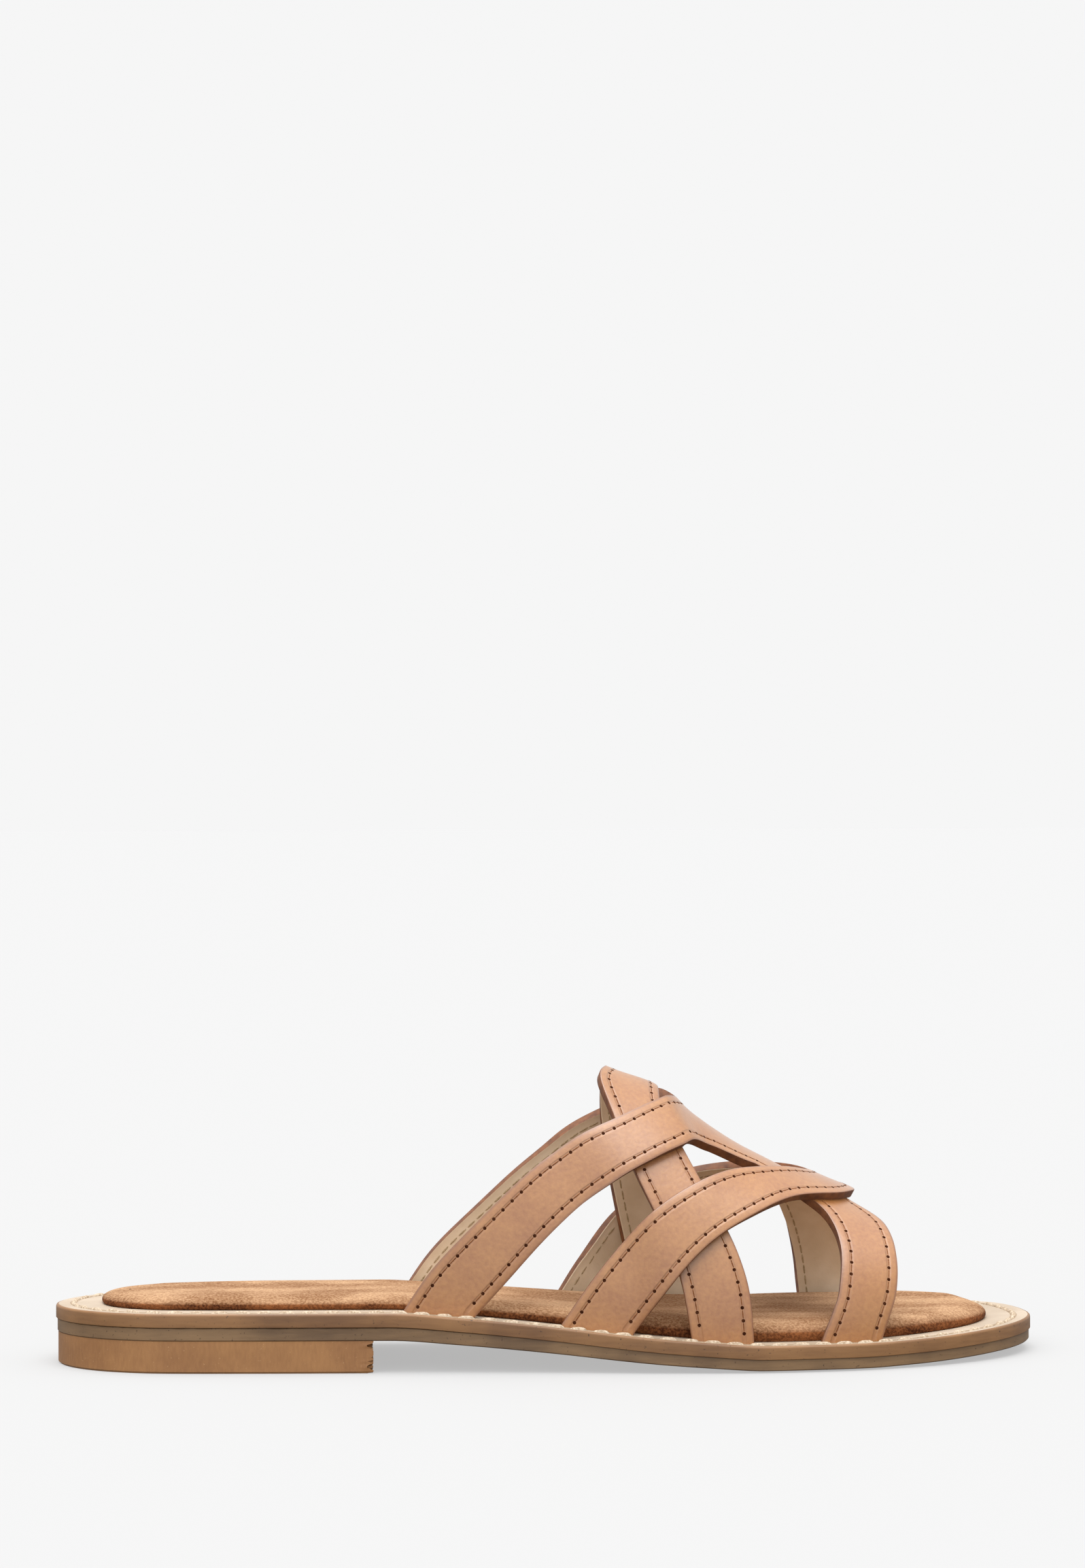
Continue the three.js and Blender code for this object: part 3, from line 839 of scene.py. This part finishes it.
bridge_rear = strap_edge(bridge_lateral, bridge_medial, "rear")
bridge_front = strap_edge(bridge_lateral, bridge_medial, "front")
window_sides = [
    strap_edge(window_lateral, window_medial, side, WINDOW_SMOOTHING) for side in ("rear", "front")
]


def window_edge(side):
    """The opening's edge, closed by a round top. Over the crown, between the two openings, the front and the
    rear edge are one line."""

    def at(turn):
        middle = (window_sides[0](turn) + window_sides[1](turn)) / 2
        depth = np.clip((np.abs(turn) - 1 + WINDOW_TOP) / WINDOW_ROUND, 0, 1)
        return middle + (side(turn) - middle) * (1 - (1 - depth) ** 2) ** WINDOW_CLOSING

    return at


window_rear, window_front = (window_edge(side) for side in window_sides)


def bridge_rise(at, turn):
    return cover(rear_arch_rear, rear_arch_front, at, turn) * (LAYER_STEP + rear_arch_rise(at, turn))


leg_share = 1 - (1 - np.linspace(0, 1, LEG_ROWS + 1)) ** LEG_CROWDING
leg_turn = -1 - STRAP_SINK + (WINDOW_TOP + STRAP_SINK) * leg_share
crown_turn = np.linspace(WINDOW_TOP - 1, 1 - WINDOW_TOP, CROWN_ROWS + 1)[1:-1]
bridge_turn = np.concatenate([leg_turn, crown_turn, -leg_turn[::-1]])[:, None]
share = np.linspace(0, 1, LEG_COLUMNS + 1)[None, :]
rear_half = bridge_rear(bridge_turn) + (window_rear(bridge_turn) - bridge_rear(bridge_turn)) * share
front_half = window_front(bridge_turn) + (bridge_front(bridge_turn) - window_front(bridge_turn)) * share
bridge_at = np.concatenate([rear_half, front_half], axis=1)
bridge_points = off_last(
    bridge_at, bridge_turn + 0 * bridge_at, bridge_rise(bridge_at, bridge_turn) + STRAP_THICKNESS
)
window_turns = leg_turn[leg_turn >= -1]
window_borders = []
for side in (1, -1):
    up = on_edge(window_rear, side * window_turns, bridge_rise)
    down = on_edge(window_front, side * window_turns[::-1], bridge_rise)
    window_borders.append(np.concatenate([up, down[1:]]))
bridge_borders = both_borders(bridge_rear, bridge_front, bridge_rise) + window_borders
strap_sheet("bridge_strap", bridge_points, bridge_borders, open_column=LEG_COLUMNS)


# Front arch strap: the top one. It starts far back at each welt and arches forwards over all the others,
# drawn tight on them, so it lies one layer off the last until it has passed behind the rear arch.
front_lateral = table(
    "up rear front",
    (0, 0.5, 0.572),
    (0.15, 0.54, 0.611),
    (0.3, 0.581, 0.651),
    (0.45, 0.629, 0.695),
    (0.6, 0.67, 0.736),
    (0.8, 0.729, 0.792),
    (1, 0.76, 0.811),
)
front_medial = table(
    "up rear front",
    (0, 0.514, 0.584),
    (0.15, 0.551, 0.621),
    (0.3, 0.594, 0.664),
    (0.45, 0.641, 0.708),
    (0.6, 0.688, 0.75),
    (0.8, 0.741, 0.797),
    (1, 0.76, 0.811),
)
front_arch_rear = strap_edge(front_lateral, front_medial, "rear")
front_arch_front = strap_edge(front_lateral, front_medial, "front")
FOOT_FADE = 14.5


def front_arch_rise(at, turn):
    """Pulled tight over the bridge's front legs and the rear arch, then down to the welt behind them."""
    behind = np.maximum(rear_arch_rear(turn) - at, 0) * SOLE_LENGTH
    return LAYER_STEP * smooth_step(1 - behind / FOOT_FADE)


front_arch_shape = (front_arch_rear, front_arch_front, front_arch_rise)
strap_sheet("front_arch_strap", arch_points(*front_arch_shape), both_borders(*front_arch_shape))


# Strap sewing: a lockstitch 2.6 mm from each cut edge, holes 3.35 mm apart, in fine brown thread.
# The needle's holes show as dark dots of painted shadow. Inside, on the lining, the thread shows pale.
SEAM_PITCH = 3.35
HOLE_DIAMETER = 0.95
CLEAR_OF_FACE = 0.2
COVERED_WITHIN = 3.2
ABOVE_LINING = 0.5
LINED_WITHIN = 1.2
SEAM_STEP = 0.25
SEAM_EVENNESS = 1.3


def length_along(line):
    return np.concatenate([[0], np.cumsum(np.linalg.norm(np.diff(line, axis=0), axis=1))])


def seam_points(tree, border, inset, pitch):
    """Places on the sheet along a border, inset from it: each a position and an outward normal."""
    along = np.gradient(border, axis=0)
    line = []
    for point, direction in zip(border, along):
        near, normal, _, _ = tree.find_nearest(Vector(point))
        sideways = normal.cross(Vector(direction)).normalized()
        tries = [tree.find_nearest(near + sideways * sign * inset) for sign in (1, -1)]
        best = min(tries, key=lambda found: found[3])
        line.append(best[0])
    line = np.array([list(p) for p in line])
    reach = length_along(border)
    even = np.arange(0, reach[-1], SEAM_STEP)
    line = np.stack(
        [drawn_out(np.interp(even, reach, line[:, i]), SEAM_STEP, SEAM_EVENNESS) for i in range(3)], axis=1
    )
    reach = length_along(line)
    count = int((reach[-1] - pitch) // pitch)
    start = (reach[-1] - count * pitch) / 2
    stations = start + pitch * np.arange(count + 1)
    places = np.stack([np.interp(stations, reach, line[:, i]) for i in range(3)], axis=1)
    return [tree.find_nearest(Vector(place))[:2] for place in places]


def laid_out(position, along, normal):
    """A matrix that puts a part's X along the seam and its Z out of the leather, in metres."""
    z = normal.normalized()
    x = (along - z * along.dot(z)).normalized()
    y = z.cross(x)
    turned = Matrix((x, y, z)).transposed().to_4x4()
    return Matrix.Translation(position * MM) @ turned


def hidden(name, position, normal, outside):
    """True where another strap lies on this place of a strap."""
    for other, tree in sheets.items():
        if other == name:
            continue
        if outside:
            hit = tree.ray_cast(position + normal * CLEAR_OF_FACE, normal, COVERED_WITHIN)
        else:
            hit = tree.ray_cast(position + normal * ABOVE_LINING, -normal, LINED_WITHIN)
        if hit[0] is not None:
            return True
    return False


def copies(name, model, places, material):
    """One piece made of a model's copies, each with its own mesh, at the given places."""
    made = []
    for place in places:
        copy = model.copy()
        copy.data = model.data.copy()
        copy.data.transform(place)
        bpy.context.scene.collection.objects.link(copy)
        made.append(copy)
    bpy.data.objects.remove(model)
    select(*made)
    bpy.ops.object.join()
    piece = bpy.context.object
    piece.name = piece.data.name = name
    piece.data.materials.append(material)
    smooth(piece, 60)
    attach(piece, "root")
    return piece


def thread_model(length, width, height, sunk):
    """A stitch of thread: a rounded bar whose ends go down into the holes."""
    bpy.ops.mesh.primitive_uv_sphere_add(segments=10, ring_count=8, radius=0.5)
    model = bpy.context.object
    points = np.empty(len(model.data.vertices) * 3)
    model.data.vertices.foreach_get("co", points)
    x, y, z = points.reshape(-1, 3).T
    along = np.sign(x) * np.abs(2 * x) ** 0.7 * length / 2
    drop = sunk * np.abs(2 * x) ** 4
    shaped = np.stack([along, y * width, z * height * 2 - drop], axis=1)
    model.data.vertices.foreach_set("co", (shaped * MM).ravel())
    return model


def hole_model(diameter):
    """A needle hole: a small lens of painted shadow just proud of the leather, since the leather under it is
    whole.
    """
    bpy.ops.mesh.primitive_uv_sphere_add(segments=10, ring_count=6, radius=diameter / 2 * MM)
    model = bpy.context.object
    model.data.transform(Matrix.Diagonal((1, 1, 0.12, 1)))
    return model


def thread_material(name, light, dark, shine=0.3):
    # Twisted polyester thread, lightly waxed, its ply a fine mottle. The same for the shadow in a needle hole
    material, tree = surface(name, 0.7, Specular_IOR_Level=shine)
    ply = pattern(tree, object_place(tree), 1600, 2)
    colour = blend(tree, spread(tree, ply, 0.35, 0.65), dark, light)
    return dressed(material, bumped(tree, ply, 0.5, 0.1), colour)


holes, threads, lining_threads = [], [], []
for name, border in seams:
    line = seam_points(sheets[name], border, SEAM_INSET, SEAM_PITCH)
    for i, (position, normal) in enumerate(line):
        before, after = line[max(i - 1, 0)][0], line[min(i + 1, len(line) - 1)][0]
        if not hidden(name, position, normal, True):
            holes.append(laid_out(position, after - before, normal))
    for (start, first), (end, second) in zip(line[:-1], line[1:]):
        middle, normal = (start + end) / 2, (first + second).normalized()
        if not hidden(name, middle, normal, True):
            threads.append(laid_out(middle, end - start, normal))
        if not hidden(name, middle - normal * STRAP_THICKNESS, normal, False):
            lining_threads.append(laid_out(middle - normal * STRAP_THICKNESS, end - start, -normal))
hole_shadow = thread_material("hole_shadow", "#4a2a1a", "#33190e", 0)
copies("strap_needle_hole_shadows", hole_model(HOLE_DIAMETER), holes, hole_shadow)
brown_stitch = thread_model(length=SEAM_PITCH - 0.7, width=0.34, height=0.09, sunk=0.05)
brown_thread = thread_material("brown_sewing_thread", "#8a5835", "#6a3f23", 0.1)
copies("strap_thread", brown_stitch, threads, brown_thread)
pale_stitch = thread_model(length=SEAM_PITCH - 0.3, width=0.5, height=0.12, sunk=0.1)
pale_thread = thread_material("pale_bobbin_thread", "#b39c7d", "#94805f")
copies("lining_thread", pale_stitch, lining_threads, pale_thread)


# Welt stitches: thick off-white thread, one long stitch every 5.8 mm all round the board, in a shallow channel.
# Each stitch lies proud like a grain of rice and its ends go down a hole, shown as a dot of painted shadow.
WELT_PITCH = 5.8
WELT_HOLE_DIAMETER = 1.1
around = np.linspace(0, 1, 900)
there = inset_edge((1 - np.cos(np.pi * around)) / 2, -1, STITCH_SIDE_MARGIN, STITCH_END_MARGIN)
back = inset_edge((1 - np.cos(np.pi * around[::-1])) / 2, 1, STITCH_SIDE_MARGIN, STITCH_END_MARGIN)
row = np.concatenate([there, back[1:]])
reach = length_along(row)
stitch_count = round(reach[-1] / WELT_PITCH)
stations = reach[-1] * np.arange(2 * stitch_count) / (2 * stitch_count)
places = np.stack([np.interp(stations, reach, row[:, i]) for i in (0, 1)], axis=1)
heights = welt_top(at_of(places)) - CHANNEL_DEPTH
welt_places = []
for i, (place, height) in enumerate(zip(places, heights)):
    before, after = places[i - 1], places[(i + 1) % len(places)]
    rise = welt_top(at_of(after)) - welt_top(at_of(before))
    along = Vector((*(after - before), rise))
    welt_places.append(laid_out(Vector((*place, height)), along, Vector((0, 0, 1))))
thick_stitch = thread_model(length=5.0, width=1.5, height=0.9, sunk=0.45)
thick_thread = thread_material("off_white_welt_thread", "#d2c1aa", "#a38d74")
copies("welt_thread", thick_stitch, welt_places[::2], thick_thread)
welt_hole_shadow = thread_material("welt_hole_shadow", "#4a3524", "#33231a", 0)
copies("welt_needle_hole_shadows", hole_model(WELT_HOLE_DIAMETER), welt_places[1::2], welt_hole_shadow)


# Footbed: a thin foam pad wrapped in cognac suede, 8 mm inside the welt board's edge and 12 mm at its ends.
# It is slightly crowned and rolls over at its rim, and its wall is coloured darker than its top as painted
# shade.
PAD_HEEL_THICKNESS = 3.3
PAD_BALL_THICKNESS = 5.0
PAD_SIDE_MARGIN = 8
PAD_END_MARGIN = 12.2
PAD_WALL_SHARE = 0.3
PAD_ROUND = 7.5
PAD_SEAM = 0.1
PAD_FOOT_INSET = 0.4
PAD_COLUMNS = 60
# The pad's thickness, from the heel's at share 0 to the ball's at share 1
padding = table("at share", (0, 0), (0.35, 0), (0.7, 1), (0.86, 0.95), (0.92, 0.55), (0.96, 0.2), (1, 0))
pad_share = curve(padding["at"], padding["share"])


def pad_height(share):
    def height(at):
        thickness = PAD_HEEL_THICKNESS + (PAD_BALL_THICKNESS - PAD_HEEL_THICKNESS) * pad_share(at)
        return welt_top(at) + PAD_SEAM + thickness * share

    return height


pad_levels = [
    (PAD_SIDE_MARGIN + PAD_FOOT_INSET, PAD_END_MARGIN + PAD_FOOT_INSET, pad_height(0)),
    (PAD_SIDE_MARGIN, PAD_END_MARGIN, pad_height(PAD_WALL_SHARE / 2)),
]
for turned in np.linspace(0, math.pi / 2, 14):
    inset = PAD_ROUND * (1 - math.cos(turned))
    share = PAD_WALL_SHARE + (1 - PAD_WALL_SHARE) * math.sin(turned)
    pad_levels.append((PAD_SIDE_MARGIN + inset, PAD_END_MARGIN + inset, pad_height(share)))
pad_steps = (1 - np.cos(np.linspace(0, np.pi, 260))) / 2
pad = merged(grid_piece("footbed_pad", board_points(pad_steps, pad_levels, PAD_COLUMNS)))


def cognac_suede():
    # Split leather brushed to a nap: cognac brown, clouded where the nap is stroked different ways, fuzzy
    material, tree = surface("cognac_suede", 1.0, Specular_IOR_Level=0.15)
    place = object_place(tree)
    clouds = spread(tree, pattern(tree, stretched(tree, place, (0.45, 1, 1)), 95, 4), 0.4, 0.6)
    nap = pattern(tree, place, 1500, 3, Roughness=0.6)
    share = layered(tree, spread(tree, nap, 0.4, 0.6), 1.1, clouds, 2.1)
    # Painted light and shade: the top is coloured lighter and the wall darker, by how far each faces up
    top = blend(tree, share, "#835a3a", "#c6a07c")
    wall = blend(tree, share, "#43210f", "#8f5833")
    normal = add(tree, "ShaderNodeNewGeometry").outputs["Normal"]
    upward = spread(tree, add(tree, "ShaderNodeSeparateXYZ", {"Vector": normal}).outputs["Z"], 0.35, 0.995)
    return dressed(material, bumped(tree, nap, 0.9, 0.5), blend(tree, upward, wall, top))


pad.data.materials.append(cognac_suede())
smooth(pad, 60)
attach(pad, "root")
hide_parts("footbed")


# Studio: a plain pale floor, a pale surround with a band of backdrop at eye level, and three soft lamps.
# The floor glows a little, a painted light with no lamp behind it, which keeps the shadow under the shoe pale.
# The floor and the backdrop band match in brightness, so no horizon shows.
BACKDROP = 0.921
FLOOR_GLOW = 0.45
FLOOR_ALBEDO = 0.246
SKY_STRENGTH = 2.0
bpy.ops.mesh.primitive_plane_add(size=40, location=(0, 0, 0))
floor = bpy.context.object
floor.name = "studio_floor"
# Painted light: the paper glows by FLOOR_GLOW, though no lamp lights it
paper, _ = surface(
    "paper_floor_painted_glow",
    1.0,
    Base_Color=(FLOOR_ALBEDO, FLOOR_ALBEDO, FLOOR_ALBEDO, 1),
    Specular_IOR_Level=0,
    Emission_Color=(1, 1, 1, 1),
    Emission_Strength=FLOOR_GLOW,
)
floor.data.materials.append(paper)
floor.visible_diffuse = False
floor.visible_glossy = False

scene = bpy.context.scene
world = bpy.data.worlds.new("studio_surround")
world.use_nodes = True
tree = world.node_tree
direction = add(tree, "ShaderNodeSeparateXYZ", {0: add(tree, "ShaderNodeTexCoord").outputs["Generated"]})
sky = add(tree, "ShaderNodeValToRGB", {"Fac": spread(tree, direction.outputs["Z"], -1, 1)})
stops = table(
    "height light",
    (0, 0.1),
    (0.48, 0.13),
    (0.49, BACKDROP / SKY_STRENGTH),
    (0.6, BACKDROP / SKY_STRENGTH),
    (0.65, 0.35),
    (0.8, 0.5),
    (1, 0.85),
)
for place, light in list(zip(stops["height"], stops["light"]))[1:-1]:
    sky.color_ramp.elements.new(place).color = (light, light, light, 1)
for end in (0, -1):
    sky.color_ramp.elements[end].color = (*[stops["light"][end]] * 3, 1)
tree.links.new(sky.outputs["Color"], tree.nodes["Background"].inputs["Color"])
tree.nodes["Background"].inputs["Strength"].default_value = SKY_STRENGTH
scene.world = world
scene.view_settings.view_transform = "Standard"

lamps = table(
    "energy width tilt turn",
    (1.55, 42, 14, 12),
    (0.5, 22, -16, 8),
    (0.7, 80, 60, -15),
)
lamp_names = ("overhead_softbox", "back_softbox", "front_fill")
for name, energy, width, tilt, turned in zip(lamp_names, *lamps.values()):
    lamp = bpy.data.lights.new(name, "SUN")
    lamp.energy = energy
    lamp.angle = math.radians(width)
    lamp_object = bpy.data.objects.new(name, lamp)
    lamp_object.rotation_euler = (math.radians(tilt), 0, math.radians(turned))
    scene.collection.objects.link(lamp_object)

# Camera: almost level, 1.1 m away on the outer side, moved a little towards the heel. AIM is the point that
# falls on the pixel AIM_PIXEL, counted from the picture's top left corner.
AIM = Vector((0, 0, 36.8))
CAMERA_DISTANCE = 1100
CAMERA_TURN = math.radians(-5.5)
CAMERA_ELEVATION = math.radians(5.8)
FOCAL_PIXELS = 6011.5
IMAGE_WIDTH = 1596
IMAGE_HEIGHT = 2306
AIM_PIXEL = (805.5, 1789)
CAMERA_ROLL = math.radians(-0.14)
SENSOR = 36
back_axis = Vector((
    math.sin(CAMERA_TURN) * math.cos(CAMERA_ELEVATION),
    -math.cos(CAMERA_TURN) * math.cos(CAMERA_ELEVATION),
    math.sin(CAMERA_ELEVATION),
))
forward = -back_axis
right = forward.cross(Vector((0, 0, 1))).normalized()
above = right.cross(forward)
pitch = math.atan((AIM_PIXEL[1] - IMAGE_HEIGHT / 2) / FOCAL_PIXELS)
yaw = math.atan((AIM_PIXEL[0] - IMAGE_WIDTH / 2) / FOCAL_PIXELS)
pitched = forward * math.cos(pitch) + above * math.sin(pitch)
upward = above * math.cos(pitch) - forward * math.sin(pitch)
looking = pitched * math.cos(yaw) - right * math.sin(yaw)
sideways = right * math.cos(yaw) + pitched * math.sin(yaw)
lens = bpy.data.cameras.new("camera")
lens.sensor_width = SENSOR
lens.lens = SENSOR * FOCAL_PIXELS / IMAGE_HEIGHT
lens.clip_start = 0.05
camera = bpy.data.objects.new("camera", lens)
turned = Matrix((sideways, upward, -looking)).transposed().to_4x4() @ Matrix.Rotation(CAMERA_ROLL, 4, "Z")
camera.matrix_world = Matrix.Translation((AIM + back_axis * CAMERA_DISTANCE) * MM) @ turned
scene.collection.objects.link(camera)
scene.camera = camera
